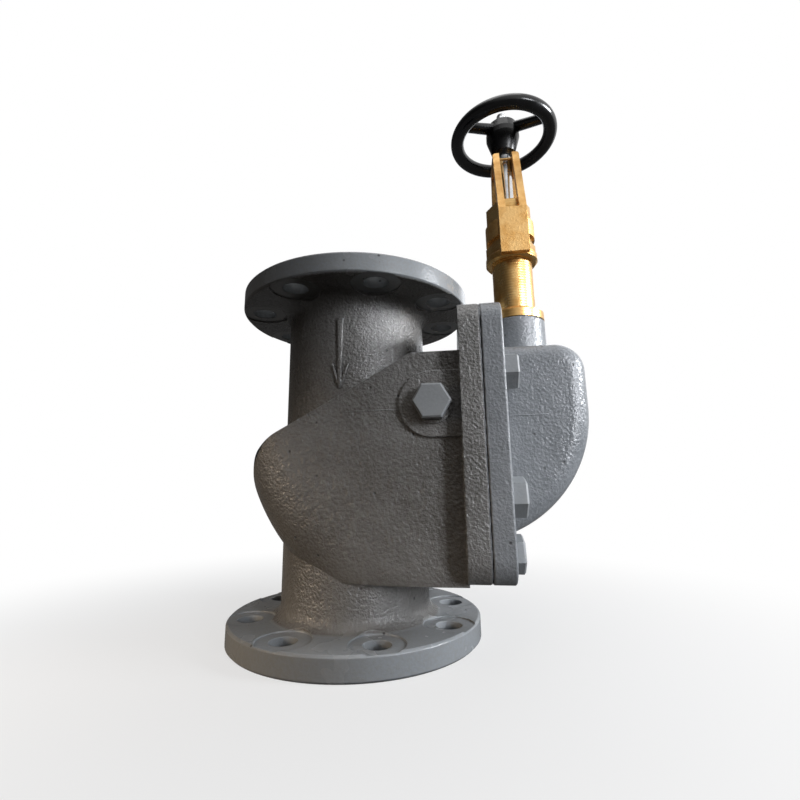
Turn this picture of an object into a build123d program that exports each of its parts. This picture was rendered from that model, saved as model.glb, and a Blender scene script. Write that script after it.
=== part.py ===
from build123d import *
import os
from math import atan2, cos, degrees, radians, sin, sqrt, tan

# Vertical marine non-return valve with a screw-down lock, nominal bore 100 mm.
# Origin: centre of the lower flange's underside. +Z runs up the pipe, +X points
# to the cover, and the hinge pin lies along Y. All lengths are in millimetres.

# Pipe ends
face_to_face = 280.0
flange_r = 100.0
flange_t = 16.0
flange_bolt_circle_r = 82.5
outlet_hole_r = 9.5
inlet_hole_r = 9.75
flange_holes = 8
spot_face_r = 19.0
spot_face_depth = 0.8
spot_face_reach = 12.0
flange_edge = 1.5
neck_r = 60.0
neck_flare_r = 10.0
bore_r = 50.0

# Chamber: a drum swept about the hinge pin, cut off by the sloped top
hinge_x = 71.0
hinge_z = 172.0
drum_r = 158.0
drum_half_width = 69.0
drum_edge_r = 44.0
floor_z = 48.5
heel_r = 25.0
nose_r = 34.0
nose_top_z = 165.0
slope_deg = 29.0
slope_foot_x = -18.0
slope_head_x = 56.0
chamber_top_z = 211.0
wall = 9.0
outlet_top_z = 84.0

# Hinge bosses outside and inside the chamber
boss_r = 24.0
boss_proud = 3.0
inner_boss_r = 18.0
inner_boss_y = 41.0

# Seat, in a plane parallel to the sloped top
seat_z = 165.5
seat_land_t = 12.0
seat_ring_inner_r = 48.5
seat_ring_outer_r = 58.0
seat_ring_sunk = 5.0
seat_ring_proud = 2.0
seat_ring_edge = 0.8

# Joint between the body and the cover
joint_x = 91.0
body_flange_t = 15.0
gasket_t = 1.5
gasket_inset = 1.0
cover_flange_t = 14.5
cover_flange_half_width = 84.0
cover_flange_bottom_z = 50.5
cover_flange_top_z = 245.5
cover_flange_corner_r = 18.0
opening_half_width = 46.0
opening_bottom_z = 80.0
opening_top_z = 203.0
opening_corner_r = 14.0
joint_edge_r = 1.0
cover_edge_r = 1.5

# Cover bolts: M16 hexagon heads
bolt_r = 8.0
bolt_head_flats = 24.0
bolt_head_h = 10.0
bolt_engaged = 12.5
bolt_hole_r = 9.0
cover_bolt_places = [(-67, 193.8), (67, 193.8), (-67, 106.5), (67, 106.5), (-37, 65.5), (37, 65.5)]
bolt_head_turn = 17.0
head_edge = 1.2

# Dome of the cover
dome_x = 88.0
dome_z = 170.0
dome_r = 97.0
dome_top_z = 220.0
dome_corner_r = 22.0
dome_half_width = 52.0
dome_rim_r = 14.0
dome_wall = 8.0
stem_boss_r = 24.0
stem_boss_top_z = 252.0

# Screw-down gear, all round the stem's axis
stem_x = 143.0
spigot_r = 17.0
spigot_bottom_z = 208.0
guide_r = 10.1
shoulder_z = 318.0
tube_r = 17.5
base_top_z = 261.0
collar_r = 22.6
collar_z = (307.5, 316.5)
hex_top_z = 326.0
hex_flats = 38.0
groove_r = 19.0
neck_thread_r = 15.0
neck_top_z = 354.0
packing_z = (326.0, 344.0)
packing_rings_count = 4
packing_gap = 0.1
packing_bore_r = 6.05
follower_top_z = 356.0
stuffing_box_r = 11.0
gland_nut_z = (348.0, 366.5)
gland_nut_flats = 34.4
stem_r = 6.0
stem_hole_r = 6.3
stem_thread_r = 4.0
stem_end_z = 221.0
stem_collar_z = (312.3, 317.8)
stem_collar_r = 9.5
stem_screw_r = 7.0
thrust_bush_z = (306.0, 312.0)
thrust_bush_bore_r = 7.3
sleeve_r = 10.0
sleeve_bore_r = 7.1
sleeve_z = (210.0, 305.0)
sleeve_foot_t = 8.0
keyway_width = 4.2
keyway_depth = 1.6
guide_pin_r = 2.0
guide_pin_z = 226.0
guide_pin_reach = 8.7

# Yoke
yoke_ring_r = 21.5
yoke_ring_z = (330.0, 346.0)
yoke_neck_r = 16.0
arm_half_width = 12.0
arm_inner_y = 23.0
arm_outer_y = 28.5
arm_bottom_z = 308.0
arm_bend_z = 350.0
arm_depth = 6.0
arm_lean = 4.2
yoke_top_z = 419.0
yoke_head_z = 404.0
yoke_head_half_depth = 10.0
yoke_head_corner_r = 3.0
slot_half_width = 5.8
keeper_r = 1.0
keeper_z = 413.0
keeper_y = -8.2
keeper_half_length = 10.5

# Handwheel
rim_z = 441.0
rim_r = 43.5
rim_section_r = 6.2
hub_bottom_z = 424.0
hub_top_z = 454.0
hub_foot_r = 10.5
hub_waist_r = 15.5
hub_head_r = 14.0
hub_band_h = 5.0
spoke_root_z = 449.0
spoke_root = (6.0, 4.6)
spoke_end = (5.0, 4.0)
spoke_angles = (-150, -30, 90)
stem_square = 8.4
stem_square_z = 425.0
stem_top_z = 469.0
wheel_washer_r = 8.5
wheel_nut_z = 456.0
wheel_nut_flats = 13.0
wheel_nut_turn = 12.0
wheel_nut_h = 6.8
wheel_nut_edge = 0.6

# Flap and its lever
disc_r = 57.0
disc_top = -3.0
disc_t = 9.0
disc_web_t = 6.0
disc_rim_inner_r = 47.0
seal_r = (46.0, 54.0)
seal_t = 4.0
seat_gap = 0.15
pin_r = 8.0
pin_clearance = 0.05
pin_y = (-59.5, 64.0)
plug_r = 10.0
plug_flats = 24.0
plug_turn = 0.0
plug_head_h = 10.5
plug_gap = 0.5
plug_washer_r = 15.0
plug_washer_t = 1.5
bush_outer_r = 11.0
bush_length = 20.0
hub_r = 17.0
hub_half_length = 40.0
lever_half_width = 12.0
lever_eye_w = (-34.0, -20.0)
stud_r = 8.0
stud_shoulder_r = 10.0
stud_end_w = -50.0
flap_washer_r = 15.0
flap_nut_w = (-44.0, -36.0)
flap_nut_flats = 24.0
split_pin_w = -46.5
split_pin_r = 1.5
split_pin_half_length = 13.0
weight_angle = -40.0
weight_arm = 72.0
weight_r = 28.0
weight_y = (19.5, 42.0)
weight_pin_r = 8.0
weight_pin_y = (11.5, 43.0)
weight_strap_y = (12.5, 19.5)
weight_strap_half_width = 12.0
finger_half_width = 9.0
finger_tip = (138.0, 160.7)
finger_toe = (136.7, 154.5)
finger_root = ((86.0, 179.0), (79.0, 157.5))

slope_tan = tan(radians(slope_deg))
behind_x = hinge_x - drum_r - 20
gasket_x = joint_x + body_flange_t
cover_x = gasket_x + gasket_t
cover_face_x = cover_x + cover_flange_t
weight_x = hinge_x + weight_arm * cos(radians(weight_angle))
weight_z = hinge_z + weight_arm * sin(radians(weight_angle))
weight_dir = (cos(radians(weight_angle)), 0, sin(radians(weight_angle)))
hinge_line = Axis((hinge_x, 0, hinge_z), (0, 1, 0))
stem_line = Axis((stem_x, 0, 0), (0, 0, 1))
side = Plane.XZ
stem_side = Plane(origin=(stem_x, 0, 0), x_dir=(1, 0, 0), z_dir=(0, -1, 0))

# The seat's own plane: x runs up the slope and the normal points up the inlet
seat_plane = Plane(
    origin=(0, 0, seat_z),
    x_dir=(cos(radians(slope_deg)), 0, sin(radians(slope_deg))),
    z_dir=(-sin(radians(slope_deg)), 0, cos(radians(slope_deg))),
)
# The same plane turned on edge: x up the slope, y along the seat's normal
seat_side = Plane(origin=(0, 0, seat_z), x_dir=seat_plane.x_dir, z_dir=(0, -1, 0))


def facing_plane(x, z=0.0):
    """A plane across the cover joint at one x: local x is Y, local y is Z."""
    return Plane(origin=(x, 0, z), x_dir=(0, 1, 0), z_dir=(1, 0, 0))


def cover_outline(x, inset=0.0):
    """The cover joint's rounded oblong at one x."""
    height = cover_flange_top_z - cover_flange_bottom_z
    with BuildSketch(facing_plane(x, cover_flange_bottom_z + height / 2)) as outline:
        RectangleRounded(
            2 * (cover_flange_half_width - inset), height - 2 * inset, cover_flange_corner_r - inset
        )
    return outline.sketch


def opening_outline(x):
    """The hand hole through the cover joint at one x."""
    height = opening_top_z - opening_bottom_z
    with BuildSketch(facing_plane(x, opening_bottom_z + height / 2)) as outline:
        RectangleRounded(2 * opening_half_width, height, opening_corner_r)
    return outline.sketch


def bolt_circles(x, radius):
    """Circles at the cover bolts' places at one x."""
    with BuildSketch(facing_plane(x)) as circles:
        with Locations(*cover_bolt_places):
            Circle(radius)
    return circles.sketch


def drum_section(radius, half_width, edge_r):
    """Half section of a drum about the hinge pin, its rim's corners rounded."""
    with BuildSketch(Plane.XY.offset(hinge_z)) as section:
        with Locations((hinge_x - radius / 2, 0)):
            Rectangle(radius, 2 * half_width)
        fillet(section.vertices().group_by(Axis.X)[0], edge_r)
    return section.sketch


def rounding_centre(level_z, radius):
    """Centre of an arc that joins the drum's rim to a level line."""
    centre_z = level_z + radius if level_z < hinge_z - drum_r / 2 else level_z - radius
    return hinge_x - sqrt((drum_r - radius) ** 2 - (centre_z - hinge_z) ** 2), centre_z


def dome_section(shrink, start_x):
    """Side view of the dome, its outline drawn in by shrink, from one x."""
    radius = dome_r - shrink
    top_z = dome_top_z - shrink
    corner_r = dome_corner_r - shrink
    low_z = dome_z - sqrt(radius ** 2 - (start_x - dome_x) ** 2)
    side_x = dome_x + radius
    with BuildSketch(side) as section:
        with BuildLine():
            rim = CenterArc((dome_x, dome_z), radius, 0, -degrees(atan2(dome_z - low_z, start_x - dome_x)))
            Line(rim @ 0, (side_x, top_z - corner_r))
            CenterArc((side_x - corner_r, top_z - corner_r), corner_r, 0, 90)
            Polyline((side_x - corner_r, top_z), (start_x, top_z), rim @ 1)
        make_face()
    return section.sketch


def hexagon(flats, turn=0.0):
    """A hexagon by its width across flats, corners on the local x axis."""
    return RegularPolygon(flats / 2, 6, major_radius=False, rotation=turn)


def save(part, label):
    """Label one finished piece and write it as a file of its own."""
    part.label = label
    export_step(part, f"parts/{label}.step")


os.makedirs("parts", exist_ok=True)

# Cavity of the chamber: an inner drum about the hinge pin, under the seat
with BuildPart() as cavity:
    add(drum_section(drum_r - wall, drum_half_width - wall, drum_edge_r - wall))
    revolve(axis=hinge_line)
    with BuildSketch(side):
        with BuildLine():
            Polyline(
                (behind_x, seat_z + behind_x * slope_tan),
                ((opening_top_z - seat_z) / slope_tan, opening_top_z),
                (joint_x - 3, opening_top_z),
                (joint_x - 3, floor_z + wall),
                (behind_x, floor_z + wall),
                close=True,
            )
        make_face()
    extrude(amount=drum_half_width, both=True, mode=Mode.INTERSECT)
    extrude(opening_outline(joint_x - 4), amount=body_flange_t + 5)

# Upper bore: straight down the neck, then square to the seat through its land
with BuildPart() as inlet_bore:
    with Locations((0, 0, seat_z - 60)):
        Cylinder(bore_r, face_to_face, align=(Align.CENTER, Align.CENTER, Align.MIN))
    split(bisect_by=seat_plane.offset(seat_land_t), keep=Keep.TOP)
    with BuildSketch(seat_plane.offset(-1)):
        Circle(seat_ring_inner_r)
    extrude(amount=seat_land_t + 1.5)
    with BuildSketch(seat_plane.offset(-1)):
        Circle(seat_ring_outer_r)
    extrude(amount=seat_ring_sunk + 1)

# Body casting
heel_x, heel_z = rounding_centre(floor_z, heel_r)
nose_x, nose_z = rounding_centre(nose_top_z, nose_r)
heel_turn = degrees(atan2(heel_x - hinge_x, heel_z - hinge_z)) + 180
nose_turn = degrees(atan2(nose_z - hinge_z, nose_x - hinge_x)) + 360
with BuildPart() as body:
    add(drum_section(drum_r, drum_half_width, drum_edge_r))
    revolve(axis=hinge_line)
    with BuildSketch(side):
        with BuildLine():
            sole = Line((joint_x + 1, floor_z), (heel_x, floor_z))
            heel = CenterArc((heel_x, heel_z), heel_r, 270, -heel_turn)
            nose = CenterArc((nose_x, nose_z), nose_r, nose_turn, 90 - nose_turn)
            Polyline(heel @ 1, (behind_x, floor_z), (behind_x, nose_z), nose @ 0)
            slope_foot_z = chamber_top_z - (slope_head_x - slope_foot_x) * slope_tan
            saddle = TangentArc(nose @ 1, (slope_foot_x, slope_foot_z), tangent=(1, 0))
            Polyline(saddle @ 1, (slope_head_x, chamber_top_z), (joint_x + 1, chamber_top_z), sole @ 0)
        make_face()
    extrude(amount=drum_half_width + 5, both=True, mode=Mode.INTERSECT)
    # flange for the cover
    extrude(cover_outline(joint_x), amount=body_flange_t)
    fillet(body.faces().sort_by(Axis.X)[-1].outer_wire().edges(), joint_edge_r)
    # bosses for the hinge pin, run out to the flange
    with BuildSketch(side):
        with Locations((hinge_x, hinge_z)):
            Circle(boss_r)
        with Locations((hinge_x, hinge_z)):
            Rectangle(joint_x - hinge_x + 1, 2 * boss_r, align=(Align.MIN, Align.CENTER))
    extrude(amount=drum_half_width + boss_proud, both=True)
    # necks and end flanges
    with BuildSketch(side):
        with BuildLine():
            Polyline(
                (0, 0),
                (flange_r - flange_edge, 0),
                (flange_r, flange_edge),
                (flange_r, flange_t - flange_edge),
                (flange_r - flange_edge, flange_t),
                (neck_r, flange_t),
                (neck_r, face_to_face - flange_t),
                (flange_r - flange_edge, face_to_face - flange_t),
                (flange_r, face_to_face - flange_t + flange_edge),
                (flange_r, face_to_face - flange_edge),
                (flange_r - flange_edge, face_to_face),
                (0, face_to_face),
                close=True,
            )
        neck_face = make_face()
        fillet(neck_face.vertices().filter_by_position(Axis.X, neck_r - 1, neck_r + 1), neck_flare_r)
    revolve(axis=Axis.Z)
    # passages
    add(cavity.part, mode=Mode.SUBTRACT)
    add(inlet_bore.part, mode=Mode.SUBTRACT)
    with Locations((0, 0, -1)):
        Cylinder(bore_r, outlet_top_z + 1, align=(Align.CENTER, Align.CENTER, Align.MIN), mode=Mode.SUBTRACT)
    # lugs inside, which carry the hinge pin
    for turn in (1, -1):
        with BuildSketch(side.offset(turn * inner_boss_y)):
            with Locations((hinge_x, hinge_z)):
                Circle(inner_boss_r)
        extrude(amount=turn * (drum_half_width - inner_boss_y - 2))
    # hinge pin's bore, blind at the far end, and the plug's bore in front
    with BuildSketch(side.offset(-pin_y[1])):
        with Locations((hinge_x, hinge_z)):
            Circle(pin_r)
    extrude(amount=pin_y[1] + drum_half_width + boss_proud + 1, mode=Mode.SUBTRACT)
    with BuildSketch(side.offset(-pin_y[0] + 0.5)):
        with Locations((hinge_x, hinge_z)):
            Circle(plug_r)
    extrude(amount=drum_half_width + boss_proud + pin_y[0] + 1, mode=Mode.SUBTRACT)
    # tapped holes for the cover bolts
    extrude(bolt_circles(gasket_x + 1, bolt_r), amount=-bolt_engaged - 1.5, mode=Mode.SUBTRACT)
    # flange bolt holes and their spot faces
    for face_z, inward, hole_r in ((0, 1, outlet_hole_r), (face_to_face, -1, inlet_hole_r)):
        with BuildSketch(Plane.XY.offset(face_z - inward)):
            with PolarLocations(flange_bolt_circle_r, flange_holes, 180 / flange_holes):
                Circle(hole_r)
        extrude(amount=inward * (flange_t + spot_face_reach), mode=Mode.SUBTRACT)
        with BuildSketch(Plane.XY.offset(face_z + inward * (flange_t - spot_face_depth))):
            with PolarLocations(flange_bolt_circle_r, flange_holes, 180 / flange_holes):
                Circle(spot_face_r)
        extrude(amount=inward * spot_face_reach, mode=Mode.SUBTRACT)
save(body.part, "body")

# Seat ring, pressed into the land
with BuildPart() as seat_ring:
    with BuildSketch(seat_side):
        with Locations((seat_ring_inner_r, -seat_ring_proud)):
            Rectangle(
                seat_ring_outer_r - seat_ring_inner_r,
                seat_ring_sunk + seat_ring_proud,
                align=(Align.MIN, Align.MIN),
            )
    revolve(axis=Axis((0, 0, seat_z), seat_plane.z_dir))
    seat_normal = Axis(origin=(0, 0, 0), direction=seat_plane.z_dir)
    chamfer(seat_ring.edges().group_by(seat_normal)[0], seat_ring_edge)
save(seat_ring.part, "seat_ring")

# Hinge pin, slid in from the front and held by the plug
with BuildPart() as hinge_pin:
    with BuildSketch(side.offset(-pin_y[1])):
        with Locations((hinge_x, hinge_z)):
            Circle(pin_r)
    extrude(amount=pin_y[1] - pin_y[0])
    chamfer(hinge_pin.edges().filter_by(GeomType.CIRCLE), 1.0)
save(hinge_pin.part, "hinge_pin")

# Plug over the pin's bore, and the washer under its hexagon
boss_face_y = drum_half_width + boss_proud
with BuildPart() as plug_washer:
    with BuildSketch(side.offset(boss_face_y)):
        with Locations((hinge_x, hinge_z)):
            Circle(plug_washer_r)
            Circle(plug_r, mode=Mode.SUBTRACT)
    extrude(amount=plug_washer_t)
save(plug_washer.part, "plug_washer")

with BuildPart() as hinge_plug:
    with BuildSketch(side.offset(boss_face_y + plug_washer_t)):
        with Locations((hinge_x, hinge_z)):
            hexagon(plug_flats, plug_turn)
    extrude(amount=plug_head_h)
    chamfer(hinge_plug.edges().group_by(Axis.Y)[0], head_edge)
    with BuildSketch(side.offset(boss_face_y + plug_washer_t)):
        with Locations((hinge_x, hinge_z)):
            Circle(plug_r)
    extrude(amount=plug_gap - (boss_face_y + plug_washer_t + pin_y[0]))
save(hinge_plug.part, "hinge_plug")

# Gasket of the cover
with BuildPart() as cover_gasket:
    extrude(cover_outline(gasket_x, gasket_inset), amount=gasket_t)
    extrude(opening_outline(gasket_x - 1), amount=gasket_t + 2, mode=Mode.SUBTRACT)
    extrude(bolt_circles(gasket_x - 1, bolt_hole_r), amount=gasket_t + 2, mode=Mode.SUBTRACT)
save(cover_gasket.part, "cover_gasket")

# Cover: a plate with a round-backed dome and the boss for the screw-down gear
with BuildPart() as dome:
    extrude(dome_section(0, cover_x), amount=dome_half_width, both=True)
    rims = dome.faces().filter_by(Axis.Y).edges()
    fillet(rims.filter_by_position(Axis.X, cover_x + 1, dome_x + dome_r), dome_rim_r)

with BuildPart() as dome_cavity:
    extrude(dome_section(dome_wall, cover_x - 1), amount=dome_half_width - dome_wall, both=True)
    rims = dome_cavity.faces().filter_by(Axis.Y).edges()
    fillet(rims.filter_by_position(Axis.X, cover_x, dome_x + dome_r), dome_rim_r - dome_wall)

with BuildPart() as cover:
    extrude(cover_outline(cover_x), amount=cover_flange_t)
    fillet(cover.faces().sort_by(Axis.X)[-1].outer_wire().edges(), cover_edge_r)
    add(dome.part)
    with Locations((stem_x, 0, dome_top_z - dome_wall)):
        Cylinder(
            stem_boss_r,
            stem_boss_top_z - dome_top_z + dome_wall,
            align=(Align.CENTER, Align.CENTER, Align.MIN),
        )
    fillet(cover.edges().filter_by(GeomType.CIRCLE).sort_by(Axis.Z)[-1], cover_edge_r)
    add(dome_cavity.part, mode=Mode.SUBTRACT)
    with Locations((stem_x, 0, spigot_bottom_z - 1)):
        Cylinder(
            spigot_r,
            stem_boss_top_z - spigot_bottom_z + 2,
            align=(Align.CENTER, Align.CENTER, Align.MIN),
            mode=Mode.SUBTRACT,
        )
    extrude(bolt_circles(cover_x - 1, bolt_hole_r), amount=cover_flange_t + 2, mode=Mode.SUBTRACT)
save(cover.part, "cover")

# One cover bolt, then the set of them
with BuildPart() as bolt:
    with BuildSketch(facing_plane(cover_face_x)):
        hexagon(bolt_head_flats, bolt_head_turn)
    extrude(amount=bolt_head_h)
    chamfer(bolt.edges().group_by(Axis.X)[-1], head_edge)
    with BuildSketch(facing_plane(cover_face_x)):
        Circle(bolt_r)
    extrude(amount=gasket_x - bolt_engaged - cover_face_x)
    chamfer(bolt.edges().filter_by(GeomType.CIRCLE).sort_by(Axis.X)[0], 1.0)

with BuildPart() as cover_bolts:
    with Locations(*[(0, y, z) for y, z in cover_bolt_places]):
        add(bolt.part)
save(cover_bolts.part, "cover_bolts")

# Bonnet: spigot, base, tube, collar, hexagon and neck turned in one piece
with BuildPart() as bonnet:
    with BuildSketch(stem_side):
        with BuildLine():
            Polyline(
                (guide_r, spigot_bottom_z),
                (spigot_r, spigot_bottom_z),
                (spigot_r, stem_boss_top_z),
                (stem_boss_r, stem_boss_top_z),
                (stem_boss_r, base_top_z - 2),
                (stem_boss_r - 2, base_top_z),
                (tube_r, base_top_z),
                (tube_r, collar_z[0]),
                (collar_r - 2, collar_z[0]),
                (collar_r, collar_z[0] + 2),
                (collar_r, collar_z[1] - 2),
                (collar_r - 2, collar_z[1]),
                (groove_r, collar_z[1]),
                (groove_r, yoke_ring_z[0]),
                (yoke_neck_r, yoke_ring_z[0]),
                (yoke_neck_r, yoke_ring_z[1] + 1),
                (neck_thread_r, yoke_ring_z[1] + 1),
                (neck_thread_r, neck_top_z),
                (stuffing_box_r, neck_top_z),
                (stuffing_box_r, packing_z[0]),
                (stem_hole_r, packing_z[0]),
                (stem_hole_r, shoulder_z),
                (guide_r, shoulder_z),
                close=True,
            )
        make_face()
    revolve(axis=stem_line)
    with BuildSketch(Plane.XY.offset(collar_z[1])):
        with Locations((stem_x, 0)):
            hexagon(hex_flats)
            Circle(groove_r - 1, mode=Mode.SUBTRACT)
    extrude(amount=hex_top_z - collar_z[1])
    with BuildSketch(facing_plane(stem_x)):
        with Locations((0, guide_pin_z)):
            Circle(guide_pin_r)
    extrude(amount=spigot_r + 1, mode=Mode.SUBTRACT)
save(bonnet.part, "bonnet")

# Pin which keeps the push sleeve from turning
with BuildPart() as guide_pin:
    with BuildSketch(facing_plane(stem_x + guide_pin_reach)):
        with Locations((0, guide_pin_z)):
            Circle(guide_pin_r)
    extrude(amount=spigot_r - guide_pin_reach - 0.2)
save(guide_pin.part, "guide_pin")


def stem_ring(outer_r, inner_r, low_z, high_z, edge=0.0):
    """A plain ring about the stem's axis."""
    with BuildPart() as ring:
        with BuildSketch(Plane.XY.offset(low_z)):
            with Locations((stem_x, 0)):
                Circle(outer_r)
                Circle(inner_r, mode=Mode.SUBTRACT)
        extrude(amount=high_z - low_z)
        if edge:
            chamfer(ring.faces().sort_by(Axis.Z)[-1].outer_wire().edges(), edge)
    return ring.part


save(stem_ring(guide_r, thrust_bush_bore_r, *thrust_bush_z), "thrust_bush")

# Packing rings, the follower which presses them and its nut
packing_pitch = (packing_z[1] - packing_z[0]) / packing_rings_count
with BuildPart() as packing:
    for ring in range(packing_rings_count):
        low_z = packing_z[0] + ring * packing_pitch
        add(stem_ring(stuffing_box_r, packing_bore_r, low_z, low_z + packing_pitch - packing_gap))
save(packing.part, "packing_rings")

save(stem_ring(stuffing_box_r - 0.1, stem_hole_r, packing_z[1], follower_top_z), "gland_follower")

with BuildPart() as gland_nut:
    with BuildSketch(Plane.XY.offset(gland_nut_z[0])):
        with Locations((stem_x, 0)):
            hexagon(gland_nut_flats)
    extrude(amount=gland_nut_z[1] - gland_nut_z[0])
    chamfer(gland_nut.edges().group_by(Axis.Z)[-1], head_edge)
    with Locations((stem_x, 0, gland_nut_z[0])):
        Cylinder(
            neck_thread_r,
            follower_top_z - gland_nut_z[0],
            align=(Align.CENTER, Align.CENTER, Align.MIN),
            mode=Mode.SUBTRACT,
        )
        Cylinder(
            stem_hole_r, 2 * gland_nut_flats, align=(Align.CENTER, Align.CENTER, Align.MIN), mode=Mode.SUBTRACT
        )
save(gland_nut.part, "gland_nut")

# Yoke: a ring on the bonnet's neck and two straps which lean in to a head
with BuildPart() as yoke:
    for turn in (1, -1):
        with BuildSketch(facing_plane(stem_x - arm_half_width)):
            Polygon(
                (turn * arm_outer_y, arm_bottom_z),
                (turn * arm_outer_y, arm_bend_z),
                (turn * yoke_head_half_depth, yoke_top_z),
                (0, yoke_top_z),
                (0, yoke_head_z),
                (turn * (yoke_head_half_depth - arm_depth + arm_lean), yoke_head_z),
                (turn * arm_inner_y, arm_bend_z),
                (turn * arm_inner_y, arm_bottom_z),
                align=None,
            )
        extrude(amount=2 * arm_half_width)
    fillet(yoke.faces().sort_by(Axis.Z)[-1].edges().filter_by(Axis.Y), yoke_head_corner_r)
    with BuildSketch(Plane.XY.offset(yoke_ring_z[0])):
        with Locations((stem_x, 0)):
            Circle(yoke_ring_r)
            Rectangle(2 * arm_half_width, 2 * arm_inner_y + 2)
    extrude(amount=yoke_ring_z[1] - yoke_ring_z[0])
    for radius, low_z, high_z in (
        (yoke_neck_r, *yoke_ring_z), (stem_hole_r, yoke_head_z, yoke_top_z)
    ):
        with BuildSketch(Plane.XY.offset(low_z - 1)):
            with Locations((stem_x, 0)):
                Circle(radius)
        extrude(amount=high_z - low_z + 2, mode=Mode.SUBTRACT)
    with BuildSketch(Plane.XY.offset(arm_bend_z)):
        with Locations((stem_x, 0)):
            Rectangle(2 * slot_half_width, 2 * arm_outer_y, align=(Align.CENTER, Align.MAX))
    extrude(amount=yoke_top_z, mode=Mode.SUBTRACT)
    with BuildSketch(facing_plane(stem_x - keeper_half_length)):
        with Locations((keeper_y, keeper_z)):
            Circle(keeper_r)
    extrude(amount=2 * keeper_half_length, mode=Mode.SUBTRACT)
save(yoke.part, "yoke")

with BuildPart() as keeper_pin:
    with BuildSketch(facing_plane(stem_x - keeper_half_length)):
        with Locations((keeper_y, keeper_z)):
            Circle(keeper_r)
    extrude(amount=2 * keeper_half_length)
save(keeper_pin.part, "keeper_pin")

# Stem: screw, thrust collar, shaft, square and threaded end
with BuildPart() as stem:
    with BuildSketch(stem_side):
        with BuildLine():
            Polyline(
                (0, stem_end_z),
                (stem_screw_r - 1.5, stem_end_z),
                (stem_screw_r, stem_end_z + 1.5),
                (stem_screw_r, stem_collar_z[0]),
                (stem_collar_r, stem_collar_z[0]),
                (stem_collar_r, stem_collar_z[1]),
                (stem_r, stem_collar_z[1]),
                (stem_r, stem_square_z),
                (stem_thread_r, stem_square_z),
                (stem_thread_r, stem_top_z - 1),
                (stem_thread_r - 1, stem_top_z),
                (0, stem_top_z),
                close=True,
            )
        make_face()
    revolve(axis=stem_line)
    with BuildSketch(Plane.XY.offset(stem_square_z)):
        with Locations((stem_x, 0)):
            Rectangle(stem_square, stem_square)
    extrude(amount=hub_top_z - stem_square_z - 0.5)
save(stem.part, "stem")

# Push sleeve: screwed onto the stem, closed at its foot, keyed against turning
with BuildPart() as push_sleeve:
    with Locations((stem_x, 0, sleeve_z[0])):
        Cylinder(sleeve_r, sleeve_z[1] - sleeve_z[0], align=(Align.CENTER, Align.CENTER, Align.MIN))
    chamfer(push_sleeve.edges().filter_by(GeomType.CIRCLE), 1.0)
    with Locations((stem_x, 0, sleeve_z[0] + sleeve_foot_t)):
        Cylinder(
            sleeve_bore_r,
            sleeve_z[1] - sleeve_z[0],
            align=(Align.CENTER, Align.CENTER, Align.MIN),
            mode=Mode.SUBTRACT,
        )
    with BuildSketch(Plane.XY.offset(sleeve_z[0] + 10)):
        with Locations((stem_x + sleeve_r - keyway_depth, 0)):
            Rectangle(2 * keyway_depth, keyway_width, align=(Align.MIN, Align.CENTER))
    extrude(amount=sleeve_z[1] - sleeve_z[0], mode=Mode.SUBTRACT)
save(push_sleeve.part, "push_sleeve")

# Handwheel: round rim, three spokes which rise to the hub
with BuildPart() as handwheel:
    with BuildSketch(stem_side):
        with Locations((rim_r, rim_z)):
            Circle(rim_section_r)
    revolve(axis=stem_line)
    with BuildSketch(stem_side):
        with BuildLine():
            Polyline(
                (0, hub_bottom_z),
                (hub_foot_r, hub_bottom_z),
                (hub_waist_r, rim_z),
                (hub_waist_r, rim_z + hub_band_h),
                (hub_head_r, hub_top_z),
                (0, hub_top_z),
                close=True,
            )
        make_face()
    revolve(axis=stem_line)
    for angle in spoke_angles:
        outward = (cos(radians(angle)), sin(radians(angle)), 0)
        for radius, height, half_sizes in ((hub_foot_r, spoke_root_z, spoke_root), (rim_r, rim_z, spoke_end)):
            centre = (stem_x + radius * outward[0], radius * outward[1], height)
            with BuildSketch(Plane(origin=centre, x_dir=(-outward[1], outward[0], 0), z_dir=outward)):
                Ellipse(*half_sizes)
        loft()
    with BuildSketch(Plane.XY.offset(hub_bottom_z)):
        with Locations((stem_x, 0)):
            Rectangle(stem_square, stem_square)
    extrude(amount=hub_top_z - hub_bottom_z, mode=Mode.SUBTRACT)
    with BuildSketch(Plane.XY.offset(hub_bottom_z)):
        with Locations((stem_x, 0)):
            Circle(stem_r)
    extrude(amount=stem_square_z - hub_bottom_z, mode=Mode.SUBTRACT)
save(handwheel.part, "handwheel")

save(stem_ring(wheel_washer_r, stem_thread_r, hub_top_z, wheel_nut_z), "wheel_washer")

with BuildPart() as wheel_nut:
    with BuildSketch(Plane.XY.offset(wheel_nut_z)):
        with Locations((stem_x, 0)):
            hexagon(wheel_nut_flats, wheel_nut_turn)
    extrude(amount=wheel_nut_h)
    chamfer(wheel_nut.edges().group_by(Axis.Z)[-1], wheel_nut_edge)
    with BuildSketch(Plane.XY.offset(wheel_nut_z)):
        with Locations((stem_x, 0)):
            Circle(stem_thread_r)
    extrude(amount=wheel_nut_h, mode=Mode.SUBTRACT)
save(wheel_nut.part, "wheel_nut")

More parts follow.
